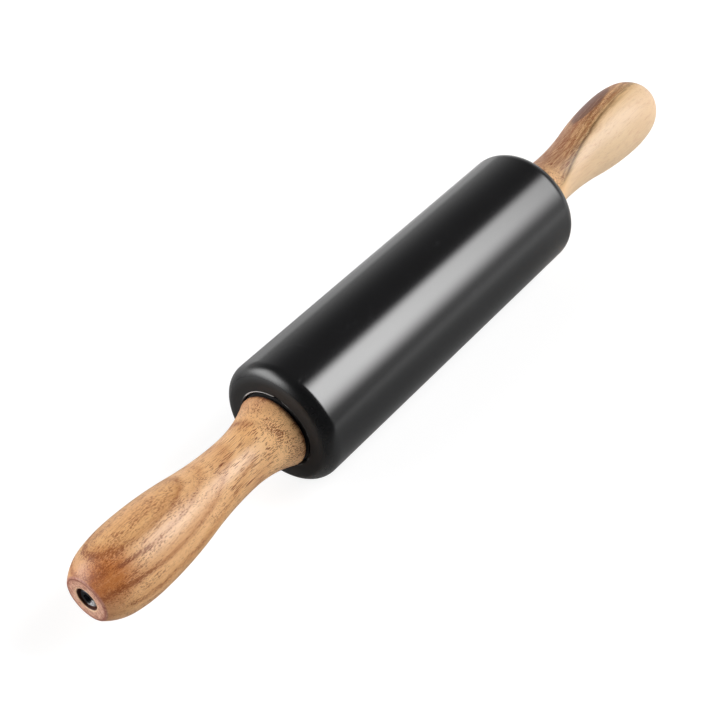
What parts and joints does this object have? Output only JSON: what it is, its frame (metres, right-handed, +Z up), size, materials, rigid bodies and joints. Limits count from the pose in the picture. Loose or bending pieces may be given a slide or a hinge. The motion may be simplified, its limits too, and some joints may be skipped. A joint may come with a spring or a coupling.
{
  "type": "marble rolling pin",
  "caption": "Rolling pin with a heavy polished black marble barrel that turns on a steel rod between two turned acacia handles.",
  "frame": {"origin": "middle of the barrel, on the axle line", "axes": "+X along the axle towards the right handle, which is the far one in the picture, +Z up"},
  "size_m": [0.421, 0.06, 0.06],
  "materials": {
    "black_marble": "satin polish",
    "nylon_bush": "matte",
    "steel_rod": "drawn",
    "steel_washer": "zinc plated",
    "dark_nut": "black oxide",
    "acacia_left": "oiled",
    "acacia_right": "oiled"
  },
  "bodies": {
    "barrel": {"marble_barrel": "black_marble", "left_bush": "nylon_bush", "right_bush": "nylon_bush"},
    "axle": {"axle_rod": "steel_rod", "left_end_washer": "steel_washer", "right_end_washer": "steel_washer", "left_end_nut": "dark_nut", "right_end_nut": "dark_nut"},
    "left_grip": {"left_handle": "acacia_left"},
    "right_grip": {"right_handle": "acacia_right"}
  },
  "joints": [
    {"name": "axle_spin", "type": "hinge", "parent": "barrel", "child": "axle", "pos_m": [0, 0, 0], "axis": [1, 0, 0], "continuous": true},
    {"name": "left_handle_spin", "type": "hinge", "parent": "axle", "child": "left_grip", "pos_m": [-0.154, 0, 0], "axis": [1, 0, 0], "continuous": true},
    {"name": "right_handle_spin", "type": "hinge", "parent": "axle", "child": "right_grip", "pos_m": [0.154, 0, 0], "axis": [1, 0, 0], "continuous": true}
  ]
}
